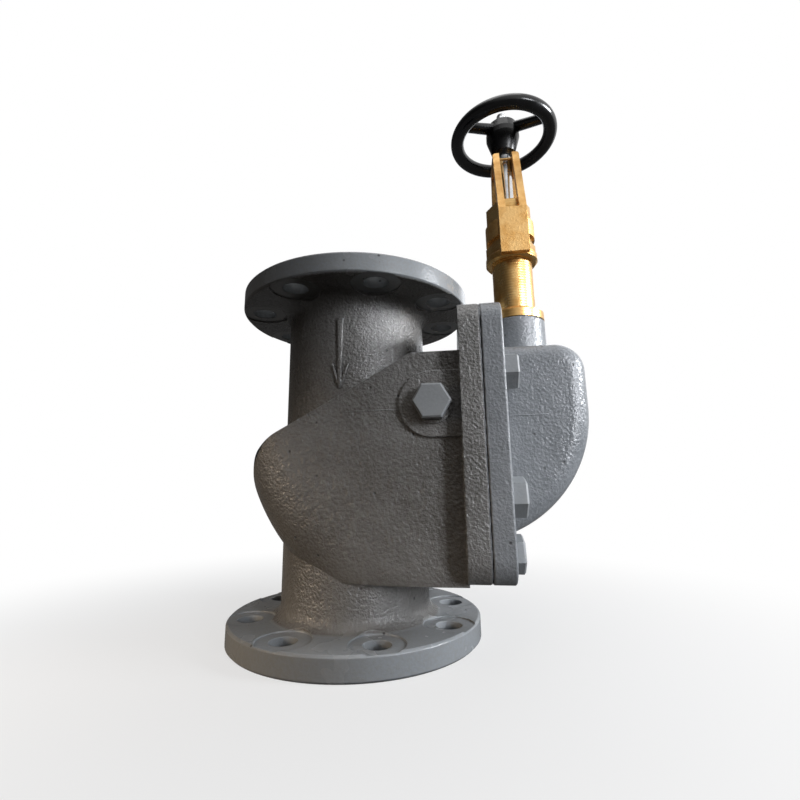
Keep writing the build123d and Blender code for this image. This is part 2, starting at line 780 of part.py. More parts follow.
# Flap disc with its stud, turned about the seat's axis
seat_line = Axis((0, 0, seat_z), seat_plane.z_dir)
seal_top = -seat_ring_proud - seat_gap
seal_foot = seal_top - seal_t
disc_foot = disc_top - disc_t
split_pin_centre = seat_side.from_local_coords(Vector(0, split_pin_w))
with BuildPart() as flap_disc:
    with BuildSketch(seat_side):
        with BuildLine():
            Polyline(
                (0, disc_top),
                (seal_r[0], disc_top),
                (seal_r[0], seal_foot),
                (seal_r[1], seal_foot),
                (seal_r[1], disc_top),
                (disc_r - 1, disc_top),
                (disc_r, disc_top - 1),
                (disc_r, disc_foot + 2),
                (disc_r - 2, disc_foot),
                (disc_rim_inner_r, disc_foot),
                (disc_rim_inner_r - 3, disc_top - disc_web_t),
                (stud_shoulder_r, disc_top - disc_web_t),
                (stud_shoulder_r, lever_eye_w[1]),
                (stud_r, lever_eye_w[1]),
                (stud_r, stud_end_w + 1),
                (stud_r - 1, stud_end_w),
                (0, stud_end_w),
                close=True,
            )
        make_face()
    revolve(axis=seat_line)
    with BuildSketch(side):
        with Locations((split_pin_centre.X, split_pin_centre.Z)):
            Circle(split_pin_r)
    extrude(amount=stud_r + 1, both=True, mode=Mode.SUBTRACT)
save(flap_disc.part, "flap_disc")


def flap_ring(outer_r, inner_r, low_w, high_w):
    """A plain ring about the seat's axis, between two heights off the seat."""
    with BuildPart() as ring:
        with BuildSketch(seat_plane.offset(low_w)):
            Circle(outer_r)
            Circle(inner_r, mode=Mode.SUBTRACT)
        extrude(amount=high_w - low_w)
    return ring.part


save(flap_ring(seal_r[1], seal_r[0], seal_foot, seal_top), "seal_ring")
save(flap_ring(flap_washer_r, stud_r, flap_nut_w[1], lever_eye_w[0]), "flap_washer")

with BuildPart() as flap_nut:
    with BuildSketch(seat_plane.offset(flap_nut_w[0])):
        hexagon(flap_nut_flats)
        Circle(stud_r, mode=Mode.SUBTRACT)
    extrude(amount=flap_nut_w[1] - flap_nut_w[0])
save(flap_nut.part, "flap_nut")

with BuildPart() as split_pin:
    with BuildSketch(side):
        with Locations((split_pin_centre.X, split_pin_centre.Z)):
            Circle(split_pin_r)
    extrude(amount=split_pin_half_length, both=True)
save(split_pin.part, "split_pin")

# Lever: hub on the hinge pin, arm to the disc, two straps to the counterweights
hinge_u = hinge_x * cos(radians(slope_deg)) + (hinge_z - seat_z) * sin(radians(slope_deg))
tail_plane = Plane(origin=(hinge_x, 0, hinge_z), x_dir=weight_dir, z_dir=(0, -1, 0))
with BuildPart() as flap_lever:
    with BuildSketch(side):
        with Locations((hinge_x, hinge_z)):
            Circle(hub_r)
    extrude(amount=hub_half_length, both=True)
    with BuildSketch(seat_side):
        with Locations((0, lever_eye_w[0])):
            Rectangle(hinge_u, lever_eye_w[1] - lever_eye_w[0], align=(Align.MIN, Align.MIN))
    extrude(amount=lever_half_width, both=True)
    with BuildSketch(seat_plane.offset(lever_eye_w[0])):
        Circle(hub_r)
    extrude(amount=lever_eye_w[1] - lever_eye_w[0])
    for turn in (1, -1):
        with BuildSketch(tail_plane.offset(turn * weight_strap_y[0])):
            Rectangle(weight_arm, 2 * weight_strap_half_width, align=(Align.MIN, Align.CENTER))
            with Locations((weight_arm, 0)):
                Circle(weight_strap_half_width)
        extrude(amount=turn * (weight_strap_y[1] - weight_strap_y[0]))
    # finger that the push sleeve presses when the flap is shut
    with BuildSketch(side):
        Polygon(
            (hinge_x, hinge_z),
            finger_root[0],
            finger_tip,
            finger_toe,
            finger_root[1],
            align=None,
        )
    extrude(amount=finger_half_width, both=True)
    with BuildSketch(side):
        with Locations((hinge_x, hinge_z)):
            Circle(bush_outer_r)
        with Locations((weight_x, weight_z)):
            Circle(weight_pin_r)
    extrude(amount=hub_half_length, both=True, mode=Mode.SUBTRACT)
    with BuildSketch(seat_plane.offset(stud_end_w)):
        Circle(stud_r)
    extrude(amount=-stud_end_w, mode=Mode.SUBTRACT)
save(flap_lever.part, "flap_lever")

# Bushes pressed into the two ends of the hub
with BuildPart() as hinge_bushes:
    for turn in (1, -1):
        with BuildSketch(side.offset(turn * hub_half_length)):
            with Locations((hinge_x, hinge_z)):
                Circle(bush_outer_r)
                Circle(pin_r + pin_clearance, mode=Mode.SUBTRACT)
        extrude(amount=-turn * bush_length)
save(hinge_bushes.part, "hinge_bushes")

# Counterweights, each outside its own strap, and the pins through them
with BuildPart() as counterweights:
    for turn in (1, -1):
        with BuildSketch(side.offset(turn * weight_y[0])):
            with Locations((weight_x, weight_z)):
                Circle(weight_r)
                Circle(weight_pin_r, mode=Mode.SUBTRACT)
        extrude(amount=turn * (weight_y[1] - weight_y[0]))
save(counterweights.part, "counterweights")

with BuildPart() as weight_pins:
    for turn in (1, -1):
        with BuildSketch(side.offset(turn * weight_pin_y[0])):
            with Locations((weight_x, weight_z)):
                Circle(weight_pin_r)
        extrude(amount=turn * (weight_pin_y[1] - weight_pin_y[0]))
save(weight_pins.part, "weight_pins")
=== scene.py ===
import bpy, bmesh
from math import atan2, cos, pi, radians, sin, sqrt
from mathutils import Matrix, Vector, noise


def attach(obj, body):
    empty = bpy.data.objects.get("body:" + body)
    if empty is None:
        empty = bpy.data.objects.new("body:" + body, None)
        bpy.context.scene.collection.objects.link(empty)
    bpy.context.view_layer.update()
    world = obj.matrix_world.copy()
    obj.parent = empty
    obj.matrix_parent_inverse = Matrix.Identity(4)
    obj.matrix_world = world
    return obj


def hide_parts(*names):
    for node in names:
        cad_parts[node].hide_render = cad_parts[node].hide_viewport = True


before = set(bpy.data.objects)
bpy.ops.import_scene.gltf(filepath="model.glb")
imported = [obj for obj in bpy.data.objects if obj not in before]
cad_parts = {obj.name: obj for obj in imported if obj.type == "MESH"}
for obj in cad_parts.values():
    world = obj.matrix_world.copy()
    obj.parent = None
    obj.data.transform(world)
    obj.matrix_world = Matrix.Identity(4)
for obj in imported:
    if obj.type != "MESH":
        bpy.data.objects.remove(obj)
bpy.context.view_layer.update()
scene = bpy.context.scene

# Places and sizes of the valve, in metres
stem_x = 0.143
neck_r = 0.060
chamber_side, dome_side = 0.069, 0.052
joint_face_x, cover_back_x = 0.106, 0.1075
joint_half_width, joint_foot_z, joint_head_z, joint_corner_r = 0.084, 0.0505, 0.2455, 0.018
nut_top_z, stem_top_z, stem_end_r = 0.4628, 0.469, 0.004
# the rough casting's middle height, how far from it the skin is cast, and beyond what it is turned
cast_middle_z, cast_within, turned_beyond = 0.1405, 0.1237, 0.1244

# Camera: low in front of the valve and close to it, a little upwards
lens = bpy.data.cameras.new("camera")
lens.sensor_width, lens.lens = 36.0, 19.663
lens.shift_x, lens.shift_y = 0.0062, -0.0064
lens.clip_start, lens.clip_end = 0.02, 20.0
camera = bpy.data.objects.new("camera", lens)
camera.location = (0.0871, -0.3774, 0.1164)
camera.rotation_euler = (radians(101.457), radians(0.735), radians(8.09))
scene.collection.objects.link(camera)
scene.camera = camera


def colour(code):
    """Linear RGBA of an sRGB hex colour."""
    parts = [int(code[i:i + 2], 16) / 255 for i in (1, 3, 5)]
    return [p / 12.92 if p <= 0.04045 else ((p + 0.055) / 1.055) ** 2.4 for p in parts] + [1.0]


def add_node(tree, kind, settings=None, **inputs):
    """One shader node. Input names have _ for a space, and s with a number picks a socket by place."""
    made = tree.nodes.new("ShaderNode" + kind)
    for name, value in (settings or {}).items():
        setattr(made, name, value)
    for name, value in inputs.items():
        socket = made.inputs[int(name[1:])] if name[1:].isdigit() else made.inputs[name.replace("_", " ")]
        if isinstance(value, bpy.types.NodeSocket):
            tree.links.new(value, socket)
        else:
            socket.default_value = value
    return made


def begin_finish(name, **settings):
    """A new material: its tree, the place on the piece, and its surface shader with constant settings."""
    finish = bpy.data.materials.new(name)
    finish.use_nodes = True
    tree = finish.node_tree
    tree.nodes.clear()
    place = add_node(tree, "TexCoord").outputs["Object"]
    shader = add_node(tree, "BsdfPrincipled", **settings)
    add_node(tree, "OutputMaterial", Surface=shader.outputs[0])
    return finish, tree, place, shader


# the paler edge colour is a painted highlight along edges, where the paint also draws thin
turned_paint, edge_highlight_paint, pit_dirt = "#888d91", "#989b9e", "#3f4041"


def sprayed_enamel(name, paint, thick, thin, lump, grit, gloss, edge=0.0011, turned_ends=False):
    """Grey alkyd enamel sprayed on sand-cast steel. To the eye: a semi-gloss film that follows the
    mould's lumps and sand grit, so that every highlight breaks into sparks; darker where it lies
    thick, and paler over edges: a painted highlight along them, where the paint also draws thin;
    with a few pits left by the sand."""
    finish, tree, place, shader = begin_finish(name, IOR=1.5)
    # sand grit 2 mm across, lumps of 8 mm, sags of 25 mm, sprayed patches of 70 mm
    grain = add_node(tree, "TexNoise", Vector=place, Scale=500.0, Detail=2.5, Roughness=0.6)
    lumps = add_node(tree, "TexNoise", Vector=place, Scale=125.0, Detail=2.0, Roughness=0.5)
    sags = add_node(tree, "TexNoise", Vector=place, Scale=40.0, Detail=2.0, Roughness=0.5)
    patches = add_node(tree, "TexNoise", Vector=place, Scale=14.0, Detail=3.0, Roughness=0.55)
    pits = add_node(tree, "TexVoronoi", Vector=place, Scale=62.0, Randomness=1.0)
    pit = add_node(tree, "MapRange", Value=pits.outputs["Distance"], From_Min=0.03, From_Max=0.085)
    skin, fine = lump, grit
    if turned_ends:
        # the flanges were turned before painting, all but the upper one's underside: there the skin
        # is smooth, and the paint looks paler
        height = add_node(tree, "SeparateXYZ", Vector=place).outputs["Z"]
        off_middle = add_node(tree, "Math", {"operation": "SUBTRACT"}, s0=height, s1=cast_middle_z)
        from_middle = add_node(tree, "Math", {"operation": "ABSOLUTE"}, s0=off_middle.outputs[0])
        cast = add_node(tree, "MapRange", Value=from_middle.outputs[0], From_Min=turned_beyond,
                        From_Max=cast_within, To_Min=0.14, To_Max=1.0)
        skin = add_node(tree, "Math", {"operation": "MULTIPLY"}, s0=cast.outputs[0], s1=lump).outputs[0]
        fine = add_node(tree, "Math", {"operation": "MULTIPLY"}, s0=cast.outputs[0], s1=grit).outputs[0]
    # the paint rounds every edge; along the edges the colour is paled, a painted highlight where the paint
    # also draws thin
    rounded = add_node(tree, "Bevel", {"samples": 6}, Radius=edge)
    flat = add_node(tree, "NewGeometry").outputs["True Normal"]
    facing = add_node(tree, "VectorMath", {"operation": "DOT_PRODUCT"}, s0=rounded.outputs[0], s1=flat)
    edge_highlight_reach = add_node(tree, "MapRange", Value=facing.outputs["Value"], From_Min=0.985, From_Max=0.86,
                     To_Min=0.0, To_Max=0.8)
    broken = add_node(tree, "MapRange", Value=lumps.outputs["Fac"], From_Min=0.40, From_Max=0.58)
    edge_highlight_and_wear = add_node(tree, "Math", {"operation": "MULTIPLY"}, s0=edge_highlight_reach.outputs[0], s1=broken.outputs[0])
    depth = add_node(tree, "MapRange", Value=patches.outputs["Fac"], From_Min=0.40, From_Max=0.62)
    film = add_node(tree, "Mix", {"data_type": "RGBA"}, Factor=depth.outputs[0],
                    s6=colour(thick), s7=colour(paint))
    if turned_ends:
        film = add_node(tree, "Mix", {"data_type": "RGBA"}, Factor=cast.outputs[0],
                        s6=colour(turned_paint), s7=film.outputs[2])
    speck = add_node(tree, "MapRange", Value=grain.outputs["Fac"], From_Min=0.36, From_Max=0.66,
                     To_Min=0.0, To_Max=0.45)
    speckled = add_node(tree, "Mix", {"data_type": "RGBA"}, Factor=speck.outputs[0],
                        s6=film.outputs[2], s7=colour(thin))
    # paler along the edges: a painted highlight, broken by the lumps, where the paint also draws thin
    with_edge_highlight = add_node(tree, "Mix", {"data_type": "RGBA"}, Factor=edge_highlight_and_wear.outputs[0],
                     s6=speckled.outputs[2], s7=colour(edge_highlight_paint))
    dirt = add_node(tree, "Mix", {"data_type": "RGBA"}, Factor=pit.outputs[0],
                    s6=colour(pit_dirt), s7=with_edge_highlight.outputs[2])
    gleam = add_node(tree, "MapRange", Value=sags.outputs["Fac"], From_Min=0.3, From_Max=0.7,
                     To_Min=gloss - 0.05, To_Max=gloss + 0.07)
    swell = add_node(tree, "Bump", Strength=skin, Distance=0.0016, Height=lumps.outputs["Fac"],
                     Normal=rounded.outputs[0])
    sand = add_node(tree, "Bump", Strength=fine, Distance=0.0009, Height=grain.outputs["Fac"],
                    Normal=swell.outputs[0])
    hole = add_node(tree, "Bump", Strength=fine, Distance=0.0005, Height=pit.outputs[0],
                    Normal=sand.outputs[0])
    tree.links.new(dirt.outputs[2], shader.inputs["Base Color"])
    tree.links.new(gleam.outputs[0], shader.inputs["Roughness"])
    tree.links.new(hole.outputs[0], shader.inputs["Normal"])
    return finish


def bare_metal(name, bright, stained, rough, turned=0.0, cast=0.0, edge=0.0005):
    """Metal left bare. To the eye: the tool's rings about the stem's line, a cast skin where it has
    one, and blotches where hands and air have dulled it."""
    finish, tree, place, shader = begin_finish(name, Metallic=1.0)
    stain = add_node(tree, "TexNoise", Vector=place, Scale=75.0, Detail=4.0, Roughness=0.6)
    dull = add_node(tree, "MapRange", Value=stain.outputs["Fac"], From_Min=0.36, From_Max=0.60)
    tone = add_node(tree, "Mix", {"data_type": "RGBA"}, Factor=dull.outputs[0],
                    s6=colour(stained), s7=colour(bright))
    polish = add_node(tree, "MapRange", Value=stain.outputs["Fac"], From_Min=0.3, From_Max=0.7,
                      To_Min=rough + 0.08, To_Max=rough - 0.04)
    # feed marks 2.4 mm apart, drawn coarser than the real ones so that they show
    rings = add_node(tree, "TexWave", {"bands_direction": "Z"}, Vector=place, Scale=130.0, Distortion=0.5,
                     Detail=1.0)
    sand = add_node(tree, "TexNoise", Vector=place, Scale=420.0, Detail=2.0)
    scuffs = add_node(tree, "TexNoise", Vector=place, Scale=1300.0, Detail=2.0)
    rounded = add_node(tree, "Bevel", {"samples": 6}, Radius=edge)
    marks = add_node(tree, "Bump", Strength=turned, Distance=0.0003, Height=rings.outputs["Fac"],
                     Normal=rounded.outputs[0])
    skin = add_node(tree, "Bump", Strength=cast, Distance=0.0007, Height=sand.outputs["Fac"],
                    Normal=marks.outputs[0])
    wear = add_node(tree, "Bump", Strength=0.12, Distance=0.0001, Height=scuffs.outputs["Fac"],
                    Normal=skin.outputs[0])
    tree.links.new(tone.outputs[2], shader.inputs["Base Color"])
    tree.links.new(polish.outputs[0], shader.inputs["Roughness"])
    tree.links.new(wear.outputs[0], shader.inputs["Normal"])
    return finish


def jointing_stuff(name, pale, dark, rough, strand, depth):
    """Rubber sheet or plaited packing. To the eye: matt and nearly black, with its strands or grain."""
    finish, tree, place, shader = begin_finish(name, Roughness=rough)
    weave = add_node(tree, "TexNoise", Vector=place, Scale=1.0 / strand, Detail=3.0)
    spread = add_node(tree, "MapRange", Value=weave.outputs["Fac"], From_Min=0.35, From_Max=0.65)
    tone = add_node(tree, "Mix", {"data_type": "RGBA"}, Factor=spread.outputs[0],
                    s6=colour(dark), s7=colour(pale))
    relief = add_node(tree, "Bump", Strength=depth, Distance=0.0003, Height=weave.outputs["Fac"])
    tree.links.new(tone.outputs[2], shader.inputs["Base Color"])
    tree.links.new(relief.outputs[0], shader.inputs["Normal"])
    return finish


def stoved_enamel():
    """Black enamel stoved on the cast wheel. To the eye: deep gloss over a faint orange peel, dulled
    in patches where dust and hands have been."""
    finish, tree, place, shader = begin_finish("stoved_black_enamel", IOR=1.5)
    peel = add_node(tree, "TexNoise", Vector=place, Scale=330.0, Detail=2.0)
    dust = add_node(tree, "TexNoise", Vector=place, Scale=45.0, Detail=4.0, Roughness=0.65)
    settled = add_node(tree, "MapRange", Value=dust.outputs["Fac"], From_Min=0.42, From_Max=0.68)
    tone = add_node(tree, "Mix", {"data_type": "RGBA"}, Factor=settled.outputs[0],
                    s6=colour("#0b0b0c"), s7=colour("#17171a"))
    gleam = add_node(tree, "MapRange", Value=dust.outputs["Fac"], From_Min=0.35, From_Max=0.7,
                     To_Min=0.16, To_Max=0.32)
    relief = add_node(tree, "Bump", Strength=0.25, Distance=0.0003, Height=peel.outputs["Fac"])
    tree.links.new(tone.outputs[2], shader.inputs["Base Color"])
    tree.links.new(gleam.outputs[0], shader.inputs["Roughness"])
    tree.links.new(relief.outputs[0], shader.inputs["Normal"])
    return finish


painted_body = sprayed_enamel("grey_enamel_on_cast_steel", "#706f6d", "#5c5a57", "#7e7d7b",
                              lump=0.5, grit=0.95, gloss=0.23, turned_ends=True)
painted_cover = sprayed_enamel("grey_enamel_on_cover", "#7c7f82", "#6d7073", "#878a8d",
                               lump=0.3, grit=0.55, gloss=0.27)
painted_bolts = sprayed_enamel("grey_enamel_on_hexagons", "#878a8c", "#797b7d", "#8e9193",
                               lump=0.06, grit=0.12, gloss=0.3, edge=0.0006)
turned_brass = bare_metal("turned_brass", "#e8c080", "#cb9a58", 0.27, turned=0.16)
filed_brass = bare_metal("filed_cast_brass", "#e2b87a", "#cb9b5a", 0.44, cast=0.35)
gunmetal = bare_metal("turned_gunmetal", "#c2935a", "#98703f", 0.33, turned=0.4)
ground_steel = bare_metal("ground_stainless_steel", "#dfe0e1", "#bfc1c3", 0.17)
zinc_plate = bare_metal("dull_zinc_plate_on_nut", "#eceeef", "#d2d5d7", 0.45)
black_steel = bare_metal("oil_blackened_steel", "#56565a", "#3c3c3f", 0.4, cast=0.6)
rubber_sheet = jointing_stuff("rubber_jointing", "#2c2c2d", "#191919", 0.75, strand=0.002, depth=0.4)
plaited_packing = jointing_stuff("plaited_graphite_packing", "#3c3c3e", "#212123", 0.55, 0.0014, 0.9)
wheel_enamel = stoved_enamel()

finishes = {
    "body": painted_body, "cover": painted_cover, "cover_bolts": painted_bolts,
    "hinge_plug": painted_bolts, "plug_washer": painted_body, "cover_gasket": rubber_sheet,
    "seal_ring": rubber_sheet, "packing_rings": plaited_packing, "bonnet": turned_brass,
    "gland_nut": turned_brass, "yoke": filed_brass, "keeper_pin": turned_brass,
    "seat_ring": gunmetal, "thrust_bush": gunmetal, "gland_follower": gunmetal, "push_sleeve": gunmetal,
    "hinge_bushes": gunmetal, "split_pin": gunmetal, "counterweights": gunmetal, "handwheel": wheel_enamel,
    "stem": ground_steel, "hinge_pin": ground_steel, "guide_pin": ground_steel, "wheel_nut": zinc_plate,
    "wheel_washer": zinc_plate, "flap_washer": ground_steel, "flap_nut": ground_steel,
    "weight_pins": ground_steel, "flap_disc": black_steel, "flap_lever": black_steel,
}
for name, finish in finishes.items():
    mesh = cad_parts[name].data
    mesh.materials.clear()
    mesh.materials.append(finish)


def place_piece(mesh, name, finish, body):
    """Turn a bmesh into a smooth object that rides on a body."""
    bmesh.ops.recalc_face_normals(mesh, faces=mesh.faces)
    for face in mesh.faces:
        face.smooth = True
    data = bpy.data.meshes.new(name)
    mesh.to_mesh(data)
    mesh.free()
    data.materials.append(finish)
    piece = bpy.data.objects.new(name, data)
    scene.collection.objects.link(piece)
    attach(piece, body)


def add_rib(mesh, start, end, half_widths, height):
    """A rounded cast rib on the plane z = 0, from start to end, with its foot sunk under the plane."""
    sunk_foot = 0.0006
    start, end = Vector(start), Vector(end)
    along = end - start
    earlier = set(mesh.verts)
    made = bmesh.ops.create_cube(mesh, size=1.0)["verts"]
    for v in made:
        half_width = half_widths[0] if v.co.x < 0 else half_widths[1]
        v.co = Vector(((v.co.x + 0.5) * along.length, v.co.y * 2 * half_width,
                       (v.co.z + 0.5) * height - sunk_foot))
    edges = {e for v in made for e in v.link_edges if all(w.co.z > 0 for w in e.verts)}
    bmesh.ops.bevel(mesh, geom=list(edges), offset=0.6 * min(height, *half_widths), offset_type="OFFSET",
                    segments=3, profile=0.5, affect="EDGES", material=-1)
    fresh = [v for v in mesh.verts if v not in earlier]
    bmesh.ops.rotate(mesh, verts=fresh, cent=(0, 0, 0),
                     matrix=Matrix.Rotation(atan2(along.y, along.x), 3, "Z"))
    bmesh.ops.translate(mesh, verts=fresh, vec=start)


# Nose of the casting: the slope of the body's top runs straight on and rounds into the drum. The line
# of the nose is drawn in the side view, and a station tells how far round it a point lies: by its x
# above the neck's foot, by its angle about the nose's heart further out.
nose_foot, nose_slope, nose_r = (-0.018, 0.170), radians(28), 0.046
nose_centre, nose_end, nose_steps = (-0.0249, 0.1142), radians(209), 20
neck_foot_x, nose_heart_z, station_per_radian = -0.062, 0.105, 0.03
nose_low_z, nose_high_z, outside_neck_r = 0.0885, 0.172, 0.0575
# faces are cut a little beyond the nose, and the wall's inside is kept this far under the skin
cut_low_z, cut_inner_r, lining_depth = 0.085, 0.056, 0.006
chamber_middle_x, chamber_middle_z, chamber_breadth = -0.03, 0.11, 0.6
weld, hairline, sharp_angle = 1e-6, 1e-9, radians(30)


def nose_station(x, z):
    """How far round the nose a point of the side view lies."""
    if x >= neck_foot_x:
        return nose_foot[0] - x
    return nose_foot[0] - neck_foot_x + station_per_radian * atan2(neck_foot_x - x, z - nose_heart_z)


def nose_line(inset):
    """Corners of the nose in the side view, from the slope's foot to the drum, as far inside as asked."""
    r = nose_r - inset
    line = [(nose_foot[0], nose_foot[1] - inset / cos(nose_slope))]
    for step in range(nose_steps + 1):
        turn = pi / 2 + nose_slope + (nose_end - pi / 2 - nose_slope) * step / nose_steps
        line.append((nose_centre[0] + r * cos(turn), nose_centre[1] + r * sin(turn)))
    if inset == 0.0:
        # the skin's line has a corner where the stations change their way of counting
        line.append((neck_foot_x, nose_centre[1] + sqrt(r ** 2 - (neck_foot_x - nose_centre[0]) ** 2)))
    return sorted(line, key=lambda corner: nose_station(*corner))


def draw_in(line, x, z):
    """Where a point outside the line comes down on it: plumb down above the neck's foot, towards the
    nose's heart further out. A point inside stays."""
    station = nose_station(x, z)
    for (x0, z0), (x1, z1) in zip(line, line[1:]):
        if nose_station(x0, z0) - hairline <= station <= nose_station(x1, z1) + hairline:
            along, rise = x1 - x0, z1 - z0
            if (x - x0) * rise - (z - z0) * along <= hairline:
                return x, z
            if x >= neck_foot_x:
                return x, z0 + (x - x0) * rise / along
            out, up = x - neck_foot_x, z - nose_heart_z
            share = ((x0 - neck_foot_x) * rise - (z0 - nose_heart_z) * along) / (out * rise - up * along)
            return neck_foot_x + share * out, nose_heart_z + share * up
    return x, z


def nose_faces(mesh, first=-1.0, last=1.0):
    """Faces of the casting about the nose, between two stations."""
    found = []
    for face in mesh.faces:
        xs, zs = [v.co.x for v in face.verts], [v.co.z for v in face.verts]
        if min(xs) < nose_foot[0] and max(zs) > cut_low_z and min(zs) < nose_high_z:
            spot = face.calc_center_median()
            if spot.xy.length > cut_inner_r and first < nose_station(spot.x, spot.z) < last:
                found.append(face)
    return found


def split_faces(mesh, faces, corner, along):
    """Cut faces where a plane through a corner of the side view crosses them."""
    touched = set(faces) | {e for f in faces for e in f.edges} | {v for f in faces for v in f.verts}
    bmesh.ops.bisect_plane(mesh, geom=list(touched), dist=1e-7, plane_co=(corner[0], 0, corner[1]),
                           plane_no=(-along[1], 0, along[0]))


casting = bmesh.new()
casting.from_mesh(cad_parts["body"].data)
bmesh.ops.remove_doubles(casting, verts=casting.verts, dist=weld)
skin_line, lining_line = nose_line(0.0), nose_line(lining_depth)
for x, z in skin_line:
    outwards = (0, 1) if x >= neck_foot_x else (x - neck_foot_x, z - nose_heart_z)
    split_faces(casting, nose_faces(casting), (x, z), outwards)
for (x0, z0), (x1, z1) in zip(skin_line, skin_line[1:]):
    between = nose_faces(casting, nose_station(x0, z0), nose_station(x1, z1))
    split_faces(casting, between, (x0, z0), (x1 - x0, z1 - z0))
casting.normal_update()
# the wall's inside is what faces the chamber's middle
lining = set()
for v in casting.verts:
    chamber_middle = Vector((chamber_middle_x, v.co.y * chamber_breadth, chamber_middle_z))
    if v.normal.dot(v.co - chamber_middle) < 0:
        lining.add(v)
for v in casting.verts:
    if v.co.x < nose_foot[0] and nose_low_z < v.co.z < nose_high_z and v.co.xy.length > outside_neck_r:
        v.co.x, v.co.z = draw_in(lining_line if v in lining else skin_line, v.co.x, v.co.z)
bmesh.ops.remove_doubles(casting, verts=casting.verts, dist=weld)
for face in casting.faces:
    face.smooth = True
casting_mesh = bpy.data.meshes.new("body_casting")
casting.to_mesh(casting_mesh)
casting.free()
casting_mesh.attributes.remove(casting_mesh.attributes["custom_normal"])
casting_mesh.set_sharp_from_angle(angle=sharp_angle)
casting_mesh.materials.clear()
casting_mesh.materials.append(painted_body)
casting_piece = bpy.data.objects.new("body_casting", casting_mesh)
scene.collection.objects.link(casting_piece)
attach(casting_piece, "valve")
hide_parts("body")

# Flow arrow, cast on the front of the upper neck
arrow_top_z, arrow_foot_z, barb_top_z, barb_out = 0.2445, 0.1885, 0.2075, 0.0062
shaft_half_widths, shaft_height, shaft_end_z = (0.0024, 0.0014), 0.0028, 0.1905
barb_half_widths, barb_height = (0.0010, 0.0012), 0.0022
arrow_off_centre, arrow_cuts = 0.0002, 6
arrow = bmesh.new()
add_rib(arrow, (0, arrow_top_z, 0), (0, shaft_end_z, 0), shaft_half_widths, shaft_height)
for side in (-1, 1):
    add_rib(arrow, (side * barb_out, barb_top_z, 0), (0, arrow_foot_z, 0), barb_half_widths, barb_height)
for cut in range(arrow_cuts):
    level = arrow_foot_z + cut * (arrow_top_z - arrow_foot_z) / arrow_cuts
    bmesh.ops.bisect_plane(arrow, geom=arrow.verts[:] + arrow.edges[:] + arrow.faces[:],
                           plane_co=(0, level, 0), plane_no=(0, 1, 0))
for v in arrow.verts:
    around = -pi / 2 + (v.co.x + arrow_off_centre) / neck_r
    v.co = Vector(((neck_r + v.co.z), 0, v.co.y)) @ Matrix.Rotation(-around, 3, "Z")
place_piece(arrow, "flow_arrow", painted_body, "valve")

# Flash at the mould's parting, a thin raised line beside the hinge boss and along the dome. Each has its
# finish, the side it stands on, where it starts and ends, its height and its name.
flash_half_widths, flash_height, flash_cuts = (0.0003, 0.0005), 0.0010, 12
flash_lines = (
    (painted_body, chamber_side, 0.004, 0.0478, 0.1684, "body_flash"),
    (painted_cover, dome_side, 0.1235, 0.154, 0.1640, "cover_flash"),
)
for finish, side_y, start_x, end_x, level_z, name in flash_lines:
    flash = bmesh.new()
    add_rib(flash, (start_x, level_z, 0), (end_x, level_z, 0), flash_half_widths, flash_height)
    long_edges = [e for e in flash.edges if e.calc_length() > 0.01]
    bmesh.ops.subdivide_edges(flash, edges=long_edges, cuts=flash_cuts)
    for v in flash.verts:
        v.co.y += 0.0005 * noise.noise(Vector((v.co.x * 160, 0, level_z * 50)))
        v.co.z *= 0.75 + 0.5 * noise.noise(Vector((v.co.x * 240, 4, 0)))
    upright = Matrix(((1, 0, 0, 0), (0, 0, -1, -side_y), (0, 1, 0, 0), (0, 0, 0, 1)))
    bmesh.ops.transform(flash, matrix=upright, verts=flash.verts)
    place_piece(flash, name, finish, "valve")

# Paint that ran over the edge of the jointing: whole at the top, cracked open further down. From each
# side a lip of paint reaches over the joint in three steps and turns down at its end.
joint_middle_z, paint_under_edge, paint_cuts = (joint_foot_z + joint_head_z) / 2, 0.0003, 70
lip_reach, lip_jitter, whole_reach, whole_above = 0.00042, 0.0003, 0.00086, 0.083
lip_shares, lip_sunk = (0.45, 0.85, 1.0), (0.0, 0.00006, 0.0005)
joint_sides = (("joint_paint_body_side", joint_face_x, 1), ("joint_paint_cover_side", cover_back_x, -1))
for name, edge_x, inward in joint_sides:
    paint = bmesh.new()
    bmesh.ops.create_grid(paint, x_segments=1, y_segments=1, size=0.5)
    outline_width = 2 * joint_half_width - 2 * paint_under_edge
    outline_height = joint_head_z - joint_foot_z - 2 * paint_under_edge
    bmesh.ops.scale(paint, vec=(outline_width, outline_height, 1), verts=paint.verts)
    bmesh.ops.bevel(paint, geom=paint.verts[:], offset=joint_corner_r, offset_type="OFFSET", segments=10,
                    profile=0.5, affect="VERTICES", material=-1)
    bmesh.ops.delete(paint, geom=paint.faces[:], context="FACES_ONLY")
    long_edges = [e for e in paint.edges if e.calc_length() > 0.01]
    bmesh.ops.subdivide_edges(paint, edges=long_edges, cuts=paint_cuts)
    rim = paint.edges[:]
    lips = []
    for _ in lip_shares:
        grown = bmesh.ops.extrude_edge_only(paint, edges=rim)["geom"]
        rim = [g for g in grown if isinstance(g, bmesh.types.BMEdge)]
        lips.append([g for g in grown if isinstance(g, bmesh.types.BMVert)])
    for verts, share, sunk in zip(lips, lip_shares, lip_sunk):
        for v in verts:
            reach = lip_reach + lip_jitter * noise.noise(Vector((v.co.x * 260, v.co.y * 260, 3.0 * inward)))
            if v.co.y > whole_above:
                reach = whole_reach
            v.co.z = reach * share
            v.co.x -= sunk * (1 if v.co.x > 0 else -1)
    upright = Matrix(((0, 0, inward, edge_x), (1, 0, 0, 0), (0, 1, 0, joint_middle_z), (0, 0, 0, 1)))
    bmesh.ops.transform(paint, matrix=upright, verts=paint.verts)
    place_piece(paint, name, painted_cover, "valve")

